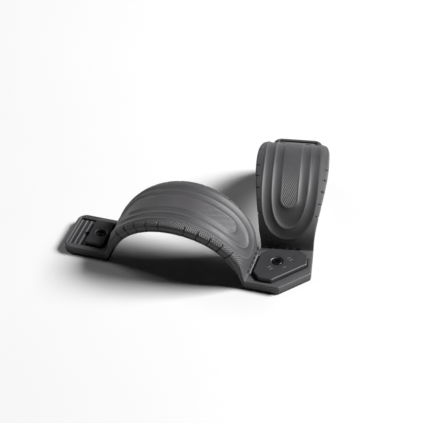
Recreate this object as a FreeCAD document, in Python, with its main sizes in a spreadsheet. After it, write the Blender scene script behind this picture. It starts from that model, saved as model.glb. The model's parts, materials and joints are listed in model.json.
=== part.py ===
import FreeCAD, Part
import math
import os

import Sketcher
from FreeCAD import Vector

# Double front foot strap of a kiteboard, in millimetres.
# Row frame: origin on the centre screw's axis at the level of the board's deck, +Z up,
# X = 0 is the mirror plane, the nose points to -Y and the two straps run apart towards +Y.
# Arm frame, one per strap: X runs outwards along the strap, and X's line is the strap's centreline.

SIZES = {
    # plan of the V
    "arm_angle": 40.0,        # each strap's angle from the mirror plane
    "arm_offset": 7.0,        # strap centreline, off the line through the centre screw
    "nose_back": 10.6,        # nose corner, behind the centre screw along the strap
    "hinge_inner": 27.3,      # centre fold line, from the centre screw
    "hinge_outer": 172.5,     # end fold line
    "fold_gap": 0.3,          # foam edge to fold line, each side
    "foot_half": 29.0,        # half width at the folds
    "crown_half": 38.5,       # half width at the top of the arch
    "end_half": 28.0,         # half width of the end pad
    "end_tip": 224.4,         # outer edge of the end pad
    "end_corner": 10.0,       # plan radius of its outer corners
    "notch_half": 1.5,        # half width of the pad's edge in the notch of the V
    "notch_cut": 8.0,         # corner taken off each strap's foot there, across the strap
    "notch_step": 2.6,        # across, from the strap's edge to the cut's bend
    "notch_bend": 4.8,        # fold line to the cut's bend
    "notch_run": 19.2,        # fold line to the cut's end
    "notch_clear": 4.0,       # cut's end, outside the strap's foot
    # arch
    "crown_x": 100.0,         # middle of the arch
    "arch_radius": 69.5,      # inner face
    "arch_drop": 8.0,        # centre of the arch below the deck
    "lining_thick": 3.0,
    "band_thick": 10.0,       # lining and cover together, at the edges
    "ridge_rise": 2.7,        # padded ridge above the band
    "ridge_half": 28.5,
    "ridge_angle": 60.0,      # ridge ends, either side of the crown
    "panel_depth": 1.6,       # sunk middle panel of the ridge
    "panel_half": 10.0,
    "panel_angle": 41.0,
    "core_thick": 1.6,
    "core_half": 22.0,
    "core_angle": 66.0,
    # pads, heights above the deck
    "sole_top": 2.0,
    "sole_inset": 0.6,        # sole inside the cover's outline
    "pad_top": 9.5,
    "core_inset": 4.0,
    "pad_round": 1.6,
    "foot_cut_height": 30.0,  # straps are cut square at the folds up to here
    "end_core_start": 3.0,    # end pad's core, from the pad's inner edge
    # centre plate
    "bed_floor": 6.5,
    "bed_seat": 8.0,
    "bed_top": 9.0,
    "bed_rib": 0.6,
    "bed_rib_width": 0.5,
    "bed_rib_pitch": 1.1,
    "bed_rib_start": 0.3,     # first rib, from the plate's gap
    "bed_margin": 4.2,
    "plate_gap": 0.9,
    "plate_base": 8.2,
    "plate_top": 14.0,
    "plate_fold_side": 19.5,
    "plate_notch_v": -8.0,
    "plate_fold_v": 23.0,
    "plate_flank_v": 30.5,
    "plate_flank_u": 12.0,
    "plate_nose_u": -1.3,
    "plate_corner": 3.0,
    "plate_bevel": 0.8,
    # end plate and its ribbed rack
    "rack_start": 180.4,
    "rack_end": 220.6,
    "rack_half": 21.4,
    "rack_floor": 5.8,
    "rack_top": 7.2,
    "rack_rib": 0.8,
    "rack_pitch": 5.2,
    "rack_rib_width": 1.4,
    "rack_rib_start": 1.0,    # first rib, from the rack's inner edge
    "rack_rib_margin": 1.5,   # rib ends, from the rack's sides
    "rack_corner": 4.0,
    "clamp_start": 181.4,
    "clamp_end": 202.0,
    "clamp_half": 19.4,
    "clamp_base": 8.2,
    "clamp_top": 12.8,
    "end_screw_x": 190.2,
    "slot_travel": 15.5,
    # M6 hardware
    "screw_hole": 3.3,
    "slot_half": 3.3,
    "cup_radius": 6.8,
    "cup_clearance": 0.05,
    "cup_wall": 0.7,
    "cup_base": 0.7,
    "cup_height": 2.6,
    "centre_cup_floor": 10.4,
    "end_cup_floor": 9.6,
    "head_radius": 5.4,
    "head_height": 2.6,
    "head_round": 1.4,
    "neck_radius": 2.8,
    "thread_radius": 3.0,
    "thread_length": 11.0,
    "thread_point": 1.0,
    "recess_length": 6.0,
    "recess_width": 1.3,
    "recess_depth": 1.8,
}

A = "Sizes.arm_angle"
OVERSIZE = 10.0     # how far a cutting outline runs past what it cuts
BITE = 1.0          # how far a feature starts inside the solid that it joins or cuts
BED_RIBS = 3        # along each fold side of the centre plate
RACK_RIBS = 8

# Share of an outline's growth by which its corners move along the strap or across it
PAD_NOSE_SHARE = 0.7
PLATE_NOTCH_SHARE = 0.4
PLATE_FOLD_SHARE = 0.5
PLATE_NOSE_SHARE = 0.6

doc = FreeCAD.newDocument("FootStrap")
sheet = doc.addObject("Spreadsheet::Sheet", "Sizes")
for row, (alias, size) in enumerate(SIZES.items(), start=1):
    sheet.set(f"A{row}", alias)
    sheet.set(f"B{row}", str(size))
    sheet.setAlias(f"B{row}", alias)
doc.recompute()

parts = []


def size(name):
    return "Sizes." + name


def value(expression):
    return float(sheet.evalExpression(expression.replace("Sizes.", "")))


def new_body(label):
    body = doc.addObject("PartDesign::Body", label)
    body.Label = label
    parts.append(body)
    return body


def new_sketch(body, name, role="XY_Plane", height=None):
    sketch = body.newObject("Sketcher::SketchObject", f"{body.Name}_{name}")
    plane = next(f for f in body.Origin.OriginFeatures if f.Role == role)
    sketch.AttachmentSupport = [(plane, "")]
    sketch.MapMode = "FlatFace"
    if height:
        sketch.setExpression("AttachmentOffset.Base.z", height)
    return sketch


def bind(sketch, constraint, expression):
    index = sketch.addConstraint(constraint)
    sketch.setExpression(f"Constraints[{index}]", expression)


def pin_point(sketch, geometry, end, x, y):
    """Fixes a point of the sketch at x, y, both expressions; '0' puts it on the axis."""
    for kind, axis, text in (("DistanceX", -2, x), ("DistanceY", -1, y)):
        if text == "0":
            sketch.addConstraint(Sketcher.Constraint("PointOnObject", geometry, end, axis))
        else:
            bind(sketch, Sketcher.Constraint(kind, -1, 1, geometry, end, value(text)), text)


def polygon(sketch, points):
    """Closed outline with a corner at each (x, y), both expressions."""
    at = [Vector(value(x), value(y), 0) for x, y in points]
    first = sketch.GeometryCount
    count = len(at)
    for i in range(count):
        sketch.addGeometry(Part.LineSegment(at[i], at[(i + 1) % count]), False)
    for i in range(count):
        following = first + (i + 1) % count
        sketch.addConstraint(Sketcher.Constraint("Coincident", first + i, 2, following, 1))
        pin_point(sketch, first + i, 1, *points[i])


def circle(sketch, radius, x="0", y="0"):
    centre = Vector(value(x), value(y), 0)
    index = sketch.addGeometry(Part.Circle(centre, Vector(0, 0, 1), value(radius)), False)
    pin_point(sketch, index, 3, x, y)
    bind(sketch, Sketcher.Constraint("Radius", index, value(radius)), radius)


def rectangle(sketch, x0, x1, half_y):
    polygon(sketch, [(x0, f"-({half_y})"), (x1, f"-({half_y})"), (x1, half_y), (x0, half_y)])


def slot(sketch, x0, x1, half_width):
    """Long hole with round ends centred at x0 and x1 on the X axis."""
    r = value(half_width)
    a, b = value(x0), value(x1)
    up = Vector(0, 0, 1)
    left = Part.ArcOfCircle(Part.Circle(Vector(a, 0, 0), up, r), math.pi / 2, 3 * math.pi / 2)
    right = Part.ArcOfCircle(Part.Circle(Vector(b, 0, 0), up, r), -math.pi / 2, math.pi / 2)
    arcs = [sketch.addGeometry(left, False), sketch.addGeometry(right, False)]
    low = sketch.addGeometry(Part.LineSegment(Vector(a, -r, 0), Vector(b, -r, 0)), False)
    high = sketch.addGeometry(Part.LineSegment(Vector(b, r, 0), Vector(a, r, 0)), False)
    for one, end, other, start in (
        (arcs[0], 2, low, 1),
        (low, 2, arcs[1], 1),
        (arcs[1], 2, high, 1),
        (high, 2, arcs[0], 1),
    ):
        sketch.addConstraint(Sketcher.Constraint("Tangent", one, end, other, start))
    for arc, x in zip(arcs, (x0, x1)):
        pin_point(sketch, arc, 3, x, "0")
    bind(sketch, Sketcher.Constraint("Radius", arcs[0], r), half_width)


def arch_band(sketch, inner, outer, angle=None):
    """Section of an arch between two radii about the arch's centre, seen along the strap's width.
    It ends on the deck, or at angle either side of the crown."""
    cx, cz = value(size("crown_x")), -value(size("arch_drop"))
    centre = Vector(cx, cz, 0)
    up = Vector(0, 0, 1)
    drop = size("arch_drop")
    ends = []
    for radius in (inner, outer):
        half = f"({angle})" if angle else f"acos({drop} / ({radius}))"
        reach = f"({radius}) * sin({half})"
        rise = f"({radius}) * cos({half}) - {drop}" if angle else "0"
        ends.append((radius, half, reach, rise))
    arcs = []
    for radius, half, reach, rise in ends:
        half_rad = math.radians(value(half))
        ring = Part.Circle(centre, up, value(radius))
        arc = Part.ArcOfCircle(ring, math.pi / 2 - half_rad, math.pi / 2 + half_rad)
        index = sketch.addGeometry(arc, False)
        arcs.append(index)
        pin_point(sketch, index, 3, size("crown_x"), f"-{drop}")
        if angle:
            pin_point(sketch, index, 1, f"{size('crown_x')} + {reach}", rise)
            far = value(f"{size('crown_x')} - {reach}")
            bind(
                sketch,
                Sketcher.Constraint("DistanceX", -1, 1, index, 2, far),
                f"{size('crown_x')} - {reach}",
            )
        else:
            bind(sketch, Sketcher.Constraint("Radius", index, value(radius)), radius)
            for end in (1, 2):
                sketch.addConstraint(Sketcher.Constraint("PointOnObject", index, end, -1))
    for end in (1, 2):
        points = [sketch.getPoint(arc, end) for arc in arcs]
        line = sketch.addGeometry(Part.LineSegment(*points), False)
        for side, arc in ((1, arcs[0]), (2, arcs[1])):
            sketch.addConstraint(Sketcher.Constraint("Coincident", line, side, arc, end))


def pad(body, sketch, length, both_ways=False, back=False):
    feature = body.newObject("PartDesign::Pad", f"{sketch.Name}_pad")
    feature.Profile = sketch
    feature.setExpression("Length", length)
    feature.Reversed = back
    if both_ways:
        feature.SideType = "Symmetric"
    doc.recompute()
    return feature


def pocket(body, sketch, length=None, back=False, both_ways=False):
    """Cuts the sketch out of the body, and checks that it cut something."""
    before = body.Shape.Volume
    feature = body.newObject("PartDesign::Pocket", f"{sketch.Name}_pocket")
    feature.Profile = sketch
    feature.Reversed = back
    if both_ways:
        feature.SideType = "Symmetric"
    if length:
        feature.setExpression("Length", length)
    else:
        feature.Type = "ThroughAll"
    doc.recompute()
    if not body.Shape.Volume < before - 0.01:
        raise RuntimeError(f"{feature.Name} cut nothing")
    return feature


def edges(feature, test):
    shape = feature.Shape
    return [f"Edge{i}" for i, edge in enumerate(shape.Edges, start=1) if test(edge)]


def is_upright(edge):
    box = edge.BoundBox
    return box.ZLength > 0.5 and box.XLength < 0.01 and box.YLength < 0.01


def at_height(height):
    level = value(height)
    return lambda edge: abs(edge.BoundBox.ZMin - level) < 0.01 and edge.BoundBox.ZLength < 0.01


def fillet(body, base, names, radius):
    feature = body.newObject("PartDesign::Fillet", f"{base.Name}_fillet")
    feature.Base = (base, names)
    feature.setExpression("Radius", radius)
    doc.recompute()
    return feature


def chamfer(body, base, names, width):
    feature = body.newObject("PartDesign::Chamfer", f"{base.Name}_chamfer")
    feature.Base = (base, names)
    feature.setExpression("Size", width)
    doc.recompute()
    return feature


# ---------------------------------------------------------------- places in the V

def plan(u, v):
    """Row x and y of a point u along and v across (outwards) from the centre screw, on the right side."""
    x = f"({u}) * sin({A}) + ({v}) * cos({A})"
    y = f"({u}) * cos({A}) - ({v}) * sin({A})"
    return x, y


def mirrored(points):
    """Outline closed by the mirror image of points, which run down the right side."""
    return points + [(f"-({x})", y) for x, y in reversed(points)]


def place_on_arm(body, side):
    """Turns a body made in the arm frame onto the right (side 1) or left (side -1) strap."""
    x, y = plan("0", size("arm_offset"))
    body.Placement = FreeCAD.Placement(Vector(0, 0, 0), FreeCAD.Rotation(Vector(0, 0, 1), 1.0))
    body.setExpression("Placement.Rotation.Angle", f"90 - {side} * {A}")
    body.setExpression("Placement.Base.x", f"{side} * ({x})")
    body.setExpression("Placement.Base.y", y)


def pad_outline(inset):
    """Centre pad: nose edge, flanks and the two fold lines that meet in the notch."""
    flank = f"{size('arm_offset')} + {size('foot_half')} - {inset}"
    fold = f"{size('hinge_inner')} - {size('fold_gap')} - {inset}"
    nose = plan(f"-{size('nose_back')} + {PAD_NOSE_SHARE} * {inset}", flank)
    fold_end = plan(fold, flank)
    notch_top = (size("notch_half"), f"({fold}) / cos({A}) - {size('notch_half')} * tan({A})")
    return mirrored([notch_top, fold_end, nose])


def plate_outline(grow):
    """Centre plate: notch chamfer, two fold sides, two short flanks and the nose edge."""
    fold = f"{size('plate_fold_side')} + {grow}"
    flank = f"{size('plate_flank_v')} + {grow}"
    return mirrored([
        plan(fold, f"{size('plate_notch_v')} - {PLATE_NOTCH_SHARE} * {grow}"),
        plan(fold, f"{size('plate_fold_v')} + {PLATE_FOLD_SHARE} * {grow}"),
        plan(f"{size('plate_flank_u')} + {PLATE_FOLD_SHARE} * {grow}", flank),
        plan(f"{size('plate_nose_u')} - {PLATE_NOSE_SHARE} * {grow}", flank),
    ])


# ---------------------------------------------------------------- hardware

def cup_washer(label, floor, x="0"):
    """Pressed steel cup with a hole for the screw's neck."""
    body = new_body(label)
    base = new_sketch(body, "base", height=floor)
    circle(base, f"{size('cup_radius')} - {size('cup_clearance')}", x)
    pad(body, base, size("cup_height"))
    well = new_sketch(body, "well", height=f"{floor} + {size('cup_base')}")
    circle(well, f"{size('cup_radius')} - {size('cup_wall')}", x)
    pocket(body, well, back=True)
    hole = new_sketch(body, "hole", height=floor)
    circle(hole, size("screw_hole"), x)
    pocket(body, hole, both_ways=True)
    return body


def screw(label, cup_floor, x="0"):
    """M6 pan-head screw with a cross recess. Below the deck its thread is a plain cylinder."""
    body = new_body(label)
    seat = f"{cup_floor} + {size('cup_base')}"
    head = new_sketch(body, "head", height=seat)
    circle(head, size("head_radius"), x)
    top = pad(body, head, size("head_height"))
    rim = edges(top, at_height(f"{seat} + {size('head_height')}"))
    fillet(body, top, rim, size("head_round"))
    neck = new_sketch(body, "neck")
    circle(neck, size("neck_radius"), x)
    pad(body, neck, f"{seat} + {BITE}")
    thread = new_sketch(body, "thread")
    circle(thread, size("thread_radius"), x)
    shank = pad(body, thread, size("thread_length"), back=True)
    tip = edges(shank, at_height(f"-{size('thread_length')}"))
    chamfer(body, shank, tip, size("thread_point"))
    long, wide = f"{size('recess_length')} / 2", f"{size('recess_width')} / 2"
    corners = [(long, wide), (wide, wide), (wide, long), (f"-{wide}", long),
               (f"-{wide}", wide), (f"-{long}", wide), (f"-{long}", f"-{wide}"),
               (f"-{wide}", f"-{wide}"), (f"-{wide}", f"-{long}"), (wide, f"-{long}"),
               (wide, f"-{wide}"), (long, f"-{wide}")]
    cross = new_sketch(body, "cross", height=f"{seat} + {size('head_height')}")
    polygon(cross, [(f"{x} + ({cx})", cy) for cx, cy in corners])
    pocket(body, cross, size("recess_depth"))
    return body


def seat_for_cup(body, floor, x="0"):
    """Counterbore for a cup washer and the screw hole under it."""
    bore = new_sketch(body, "bore", height=floor)
    circle(bore, size("cup_radius"), x)
    pocket(body, bore, back=True)
    hole = new_sketch(body, "hole")
    circle(hole, size("screw_hole"), x)
    pocket(body, hole, back=True)


# ---------------------------------------------------------------- centre

def centre_sole():
    body = new_body("centre_sole")
    outline = new_sketch(body, "outline")
    polygon(outline, pad_outline(size("sole_inset")))
    pad(body, outline, size("sole_top"))
    hole = new_sketch(body, "hole")
    circle(hole, size("screw_hole"))
    pocket(body, hole, back=True)


def centre_core():
    body = new_body("centre_core")
    outline = new_sketch(body, "outline", height=size("sole_top"))
    polygon(outline, pad_outline(size("core_inset")))
    pad(body, outline, size("core_thick"))
    hole = new_sketch(body, "hole")
    circle(hole, size("screw_hole"))
    pocket(body, hole, back=True)


def centre_cover():
    body = new_body("centre_cover")
    outline = new_sketch(body, "outline", height=size("sole_top"))
    polygon(outline, pad_outline("0"))
    block = pad(body, outline, f"{size('pad_top')} - {size('sole_top')}")
    rim = edges(block, at_height(size("pad_top")))
    fillet(body, block, rim, size("pad_round"))
    recess = new_sketch(body, "bed_recess", height=size("bed_floor"))
    polygon(recess, plate_outline(size("bed_margin")))
    pocket(body, recess, back=True)
    under = new_sketch(body, "core_recess", height=size("sole_top"))
    polygon(under, pad_outline(size("core_inset")))
    pocket(body, under, size("core_thick"), back=True)
    hole = new_sketch(body, "hole")
    circle(hole, size("screw_hole"))
    pocket(body, hole, back=True)


def centre_bed():
    body = new_body("centre_bed")
    outline = new_sketch(body, "outline", height=size("bed_floor"))
    polygon(outline, plate_outline(size("bed_margin")))
    pad(body, outline, f"{size('bed_top')} - {size('bed_floor')}")
    first = f"{size('plate_fold_side')} + {size('plate_gap')} + {size('bed_rib_start')}"
    for count in range(BED_RIBS):
        near = f"{first} + {count} * {size('bed_rib_pitch')}"
        far = f"{near} + {size('bed_rib_width')}"
        for side in ("", "-"):
            rib = new_sketch(body, f"rib{count}{'l' if side else 'r'}", height=size("bed_top"))
            corners = [
                plan(near, size("plate_notch_v")),
                plan(near, size("plate_fold_v")),
                plan(far, size("plate_fold_v")),
                plan(far, size("plate_notch_v")),
            ]
            polygon(rib, [(f"{side}({x})", y) for x, y in corners])
            pad(body, rib, size("bed_rib"))
    seat = new_sketch(body, "seat", height=size("bed_seat"))
    polygon(seat, plate_outline(size("plate_gap")))
    pocket(body, seat, back=True)
    hole = new_sketch(body, "hole")
    circle(hole, size("screw_hole"))
    pocket(body, hole, back=True)


def centre_plate():
    body = new_body("centre_plate")
    outline = new_sketch(body, "outline", height=size("plate_base"))
    polygon(outline, plate_outline("0"))
    block = pad(body, outline, f"{size('plate_top')} - {size('plate_base')}")
    rounded = fillet(body, block, edges(block, is_upright), size("plate_corner"))
    top = edges(rounded, at_height(size("plate_top")))
    chamfer(body, rounded, top, size("plate_bevel"))
    seat_for_cup(body, size("centre_cup_floor"))


# ---------------------------------------------------------------- straps

def trim_to_plan(body, side):
    """Takes a strap's edges down to its barrel-shaped plan, and its foot back in the notch of the V."""
    over = f"{size('crown_half')} + {OVERSIZE}"
    foot, crown = size("foot_half"), size("crown_half")
    half_run = f"({size('hinge_outer')} - {size('hinge_inner')}) / 2"
    bow = f"({crown} - {foot})"
    radius = f"((({half_run}) ^ 2 + {bow} ^ 2) / (2 * {bow}))"
    for sign in (1, -1):
        sketch = new_sketch(body, f"edge{'a' if sign > 0 else 'b'}")
        turn = "" if sign > 0 else "-"
        r, mid = value(radius), value(size("crown_x"))
        centre = Vector(mid, sign * (value(crown) - r), 0)
        reach = value(half_run)
        rise = sign * value(foot)
        start = Vector(mid - sign * reach, rise, 0)
        end = Vector(mid + sign * reach, rise, 0)
        ring = Part.Circle(centre, Vector(0, 0, 1), r)
        first, last = ring.parameter(end), ring.parameter(start)
        arc = sketch.addGeometry(Part.ArcOfCircle(ring, first, last), False)
        bind(sketch, Sketcher.Constraint("Radius", arc, r), radius)
        far, near = (size("hinge_outer"), size("hinge_inner"))
        ends = ((1, far), (2, near)) if sign > 0 else ((1, near), (2, far))
        for which, x in ends:
            pin_point(sketch, arc, which, x, f"{turn}({foot})")
        outer = value(over) * sign
        far_x, near_x = value(far), value(near)
        lines = [
            Part.LineSegment(Vector(near_x, rise, 0), Vector(near_x, outer, 0)),
            Part.LineSegment(Vector(near_x, outer, 0), Vector(far_x, outer, 0)),
            Part.LineSegment(Vector(far_x, outer, 0), Vector(far_x, rise, 0)),
        ]
        ids = [sketch.addGeometry(line, False) for line in lines]
        near_end, far_end = (2, 1) if sign > 0 else (1, 2)
        sketch.addConstraint(Sketcher.Constraint("Coincident", ids[0], 1, arc, near_end))
        sketch.addConstraint(Sketcher.Constraint("Coincident", ids[0], 2, ids[1], 1))
        sketch.addConstraint(Sketcher.Constraint("Coincident", ids[1], 2, ids[2], 1))
        sketch.addConstraint(Sketcher.Constraint("Coincident", ids[2], 2, arc, far_end))
        pin_point(sketch, ids[1], 1, near, f"{turn}({over})")
        pin_point(sketch, ids[1], 2, far, f"{turn}({over})")
        pocket(body, sketch, back=True)
    inner = "" if side > 0 else "-"
    corner = new_sketch(body, "notch")
    start = size("hinge_inner")
    polygon(corner, [
        (start, f"{inner}({foot} - {size('notch_cut')})"),
        (f"{start} + {size('notch_bend')}", f"{inner}({foot} - {size('notch_step')})"),
        (f"{start} + {size('notch_run')}", f"{inner}({foot} + {size('notch_clear')})"),
        (start, f"{inner}({foot} + {size('notch_clear')})"),
    ])
    pocket(body, corner, back=True)


def strap_cover(name, side):
    body = new_body(f"{name}_strap_cover")
    inner = f"{size('arch_radius')} + {size('lining_thick')}"
    outer = f"{size('arch_radius')} + {size('band_thick')}"
    wide = f"2 * {size('crown_half')} + {OVERSIZE}"
    band = new_sketch(body, "band", "XZ_Plane")
    arch_band(band, inner, outer)
    pad(body, band, wide, both_ways=True)
    ridge = new_sketch(body, "ridge", "XZ_Plane")
    crest = f"{outer} + {size('ridge_rise')}"
    arch_band(ridge, f"{outer} - {BITE}", crest, size("ridge_angle"))
    pad(body, ridge, f"2 * {size('ridge_half')}", both_ways=True)
    panel = new_sketch(body, "panel", "XZ_Plane")
    arch_band(panel, f"{crest} - {size('panel_depth')}", f"{crest} + {BITE}", size("panel_angle"))
    pocket(body, panel, f"2 * {size('panel_half')}", both_ways=True)
    recess = new_sketch(body, "core_recess", "XZ_Plane")
    arch_band(recess, f"{inner} - {BITE}", f"{inner} + {size('core_thick')}", size("core_angle"))
    pocket(body, recess, f"2 * {size('core_half')}", both_ways=True)
    feet = new_sketch(body, "feet", "XZ_Plane")
    tall = size("foot_cut_height")
    foot_in = f"{size('hinge_inner')} + {size('fold_gap')}"
    foot_out = f"{size('hinge_outer')} - {size('fold_gap')}"
    polygon(feet, [("0", "0"), (foot_in, "0"), (foot_in, tall), ("0", tall)])
    polygon(feet, [(foot_out, "0"), (size("end_tip"), "0"), (size("end_tip"), tall), (foot_out, tall)])
    pocket(body, feet, f"{wide} + {OVERSIZE}", both_ways=True)
    trim_to_plan(body, side)
    place_on_arm(body, side)


def strap_core(name, side):
    body = new_body(f"{name}_strap_core")
    inner = f"{size('arch_radius')} + {size('lining_thick')}"
    strip = new_sketch(body, "strip", "XZ_Plane")
    arch_band(strip, inner, f"{inner} + {size('core_thick')}", size("core_angle"))
    pad(body, strip, f"2 * {size('core_half')}", both_ways=True)
    place_on_arm(body, side)


def strap_lining(name, side):
    body = new_body(f"{name}_strap_lining")
    layer = new_sketch(body, "layer", "XZ_Plane")
    inner = size("arch_radius")
    arch_band(layer, inner, f"{inner} + {size('lining_thick')}")
    pad(body, layer, f"2 * {size('crown_half')} + {OVERSIZE}", both_ways=True)
    trim_to_plan(body, side)
    place_on_arm(body, side)


# ---------------------------------------------------------------- ends

def end_start():
    return f"{size('hinge_outer')} + {size('fold_gap')}"


def slot_cut(body):
    """The adjusting slot that the end screw runs in."""
    cut = new_sketch(body, "slot")
    far = f"{size('end_screw_x')} + {size('slot_travel')}"
    slot(cut, size("end_screw_x"), far, size("slot_half"))
    pocket(body, cut, back=True)


def rounded_block(body, x0, x1, half, base, top, corner, only_outer):
    """Block on the arm's centreline with rounded upright corners, all four or the outer two."""
    outline = new_sketch(body, "outline", height=base)
    rectangle(outline, x0, x1, half)
    block = pad(body, outline, f"({top}) - ({base})")
    middle = value(f"({x0} + {x1}) / 2")

    def wanted(edge):
        return is_upright(edge) and (not only_outer or edge.BoundBox.XMin > middle)

    return fillet(body, block, edges(block, wanted), corner)


def end_sole(name, side):
    body = new_body(f"{name}_end_sole")
    tip = f"{size('end_tip')} - {size('sole_inset')}"
    half = f"{size('end_half')} - {size('sole_inset')}"
    rounded_block(body, end_start(), tip, half, "0", size("sole_top"), size("end_corner"), True)
    slot_cut(body)
    place_on_arm(body, side)


def end_core(name, side):
    body = new_body(f"{name}_end_core")
    start = f"{end_start()} + {size('end_core_start')}"
    tip = f"{size('end_tip')} - {size('core_inset')}"
    half = f"{size('end_half')} - {size('core_inset')}"
    top = f"{size('sole_top')} + {size('core_thick')}"
    rounded_block(body, start, tip, half, size("sole_top"), top, size("rack_corner"), False)
    slot_cut(body)
    place_on_arm(body, side)


def end_cover(name, side):
    body = new_body(f"{name}_end_cover")
    block = rounded_block(body, end_start(), size("end_tip"), size("end_half"),
                          size("sole_top"), size("pad_top"), size("end_corner"), True)
    rim = edges(block, at_height(size("pad_top")))
    fillet(body, block, rim, size("pad_round"))
    recess = new_sketch(body, "rack_recess", height=size("rack_floor"))
    rectangle(recess, size("rack_start"), size("rack_end"), size("rack_half"))
    pocket(body, recess, back=True)
    under = new_sketch(body, "core_recess", height=size("sole_top"))
    start = f"{end_start()} + {size('end_core_start')}"
    tip = f"{size('end_tip')} - {size('core_inset')}"
    rectangle(under, start, tip, f"{size('end_half')} - {size('core_inset')}")
    pocket(body, under, size("core_thick"), back=True)
    slot_cut(body)
    place_on_arm(body, side)


def end_rack(name, side):
    body = new_body(f"{name}_end_rack")
    base = new_sketch(body, "base", height=size("rack_floor"))
    rectangle(base, size("rack_start"), size("rack_end"), size("rack_half"))
    pad(body, base, f"{size('rack_top')} - {size('rack_floor')}")
    rib = new_sketch(body, "rib", height=size("rack_top"))
    first = f"{size('rack_start')} + {size('rack_rib_start')}"
    side_margin = size("rack_rib_margin")
    rectangle(rib, first, f"{first} + {size('rack_rib_width')}", f"{size('rack_half')} - {side_margin}")
    tooth = pad(body, rib, size("rack_rib"))
    row = body.newObject("PartDesign::LinearPattern", f"{name}_rack_row")
    row.Originals = [tooth]
    axis = next(f for f in body.Origin.OriginFeatures if f.Role == "X_Axis")
    row.Direction = (axis, [""])
    row.Occurrences = RACK_RIBS
    row.setExpression("Length", f"{RACK_RIBS - 1} * {size('rack_pitch')}")
    body.Tip = row
    doc.recompute()
    slot_cut(body)
    place_on_arm(body, side)


def end_plate(name, side):
    body = new_body(f"{name}_end_plate")
    block = rounded_block(body, size("clamp_start"), size("clamp_end"), size("clamp_half"),
                          size("clamp_base"), size("clamp_top"), size("plate_corner"), False)
    top = edges(block, at_height(size("clamp_top")))
    chamfer(body, block, top, size("plate_bevel"))
    seat_for_cup(body, size("end_cup_floor"), size("end_screw_x"))
    place_on_arm(body, side)


centre_sole()
centre_core()
centre_cover()
centre_bed()
centre_plate()
cup_washer("centre_cup_washer", size("centre_cup_floor"))
screw("centre_screw", size("centre_cup_floor"))
for name, side in (("right", 1), ("left", -1)):
    strap_cover(name, side)
    strap_core(name, side)
    strap_lining(name, side)
    end_sole(name, side)
    end_core(name, side)
    end_cover(name, side)
    end_rack(name, side)
    end_plate(name, side)
    cup = cup_washer(f"{name}_end_cup_washer", size("end_cup_floor"), size("end_screw_x"))
    place_on_arm(cup, side)
    bolt = screw(f"{name}_end_screw", size("end_cup_floor"), size("end_screw_x"))
    place_on_arm(bolt, side)

doc.recompute()
broken = [o.Name for o in doc.Objects if "Invalid" in o.State or "Error" in o.State]
for part in parts:
    if part.Shape.isNull() or not part.Shape.isValid() or part.Shape.Volume <= 0:
        broken.append(part.Label)
if broken:
    raise RuntimeError(f"failed: {broken}")

os.makedirs("parts", exist_ok=True)
for part in parts:
    part.Shape.exportStep(f"parts/{part.Label}.step")
    print(part.Label, len(part.Shape.Solids), round(part.Shape.Volume / 1000, 3))
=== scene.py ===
import json
import math

import bmesh
import bpy
import numpy as np
from mathutils import Matrix, Vector


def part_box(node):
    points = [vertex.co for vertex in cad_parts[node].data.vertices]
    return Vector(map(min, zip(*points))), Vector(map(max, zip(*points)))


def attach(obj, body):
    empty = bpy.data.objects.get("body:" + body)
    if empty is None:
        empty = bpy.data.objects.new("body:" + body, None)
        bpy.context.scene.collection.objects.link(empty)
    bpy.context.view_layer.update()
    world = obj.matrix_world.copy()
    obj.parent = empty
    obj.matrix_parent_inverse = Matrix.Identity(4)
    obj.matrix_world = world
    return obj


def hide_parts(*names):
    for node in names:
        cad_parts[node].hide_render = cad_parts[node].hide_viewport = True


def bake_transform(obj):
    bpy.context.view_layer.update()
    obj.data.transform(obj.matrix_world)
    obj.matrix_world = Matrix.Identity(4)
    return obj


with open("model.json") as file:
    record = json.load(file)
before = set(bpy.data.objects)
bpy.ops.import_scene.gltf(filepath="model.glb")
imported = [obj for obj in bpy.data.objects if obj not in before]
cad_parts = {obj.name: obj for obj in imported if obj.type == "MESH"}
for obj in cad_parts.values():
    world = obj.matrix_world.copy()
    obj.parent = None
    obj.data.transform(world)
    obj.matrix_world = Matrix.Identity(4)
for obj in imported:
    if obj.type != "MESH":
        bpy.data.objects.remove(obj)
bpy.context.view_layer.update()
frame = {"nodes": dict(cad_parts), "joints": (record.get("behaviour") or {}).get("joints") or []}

MM = 0.001
joints = {joint["name"]: joint for joint in frame["joints"]}

# ---------------------------------------------------------------- sizes, in millimetres

FILLET = 3.4            # concave fillet where a strap rises from its pads
ARCH_DROP = 8.0         # centre of the arches, below the deck
LINING_R = 69.5         # arch radii: inner face of the lining
COVER_R = 72.5          # inner face of the cover
BAND_R = 79.5           # outer face of the cover at its edges
SEAM_ANGLE = 60.0       # where the folding feet begin, either side of the crown
CORE_THICK = 1.65
CORE_HALF = 22.2
CROWN_HALF = 38.5       # half widths of a strap
FOOT_HALF = 29.0
END_HALF = 28.0
NOTCH_FOOT = 26.0       # the inner half width where a strap leaves the centre pad
NOTCH_TOP = 21.0        # height above the pad at which it has grown
NOTCH_CLEAR = 0.5       # room for the other strap, inside the full width
NOTCH_REACH = (32.0, 46.0)     # along the arm, over which the full width is reached
TURN_UP = 14.0          # height at which a foot's inner face leaves the arch and turns to the pad
FOOT_SHARE = 0.5        # of a foot's length down to there
FOOT_STEPS = 27         # sections of a foot
LEAVE_PULL = 9.0        # how far a foot's outer face keeps to the arch's tangent
TURN_PULL = 12.0        # and its inner face
WALL_GAP = 0.4          # from the fold line to where the outer face has come down
BEND_IN, BEND_UP = 3.7, 12.5   # upper end of a bending foot: back from the fold, above the pad
SOLE_TOP = 2.05
ROUND = 1.3             # rounded top rim of every edge
PAD_PARTING = 3.9       # parting line below the rim, on the pads
BAND_PARTING = 1.75     # and on the arches
NOTCHES = (14.0, 28.3, 42.1, 55.8, 69.0)   # edge cuts, arc length either side of the crown
NOTCH_DEPTH = 1.4
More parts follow.
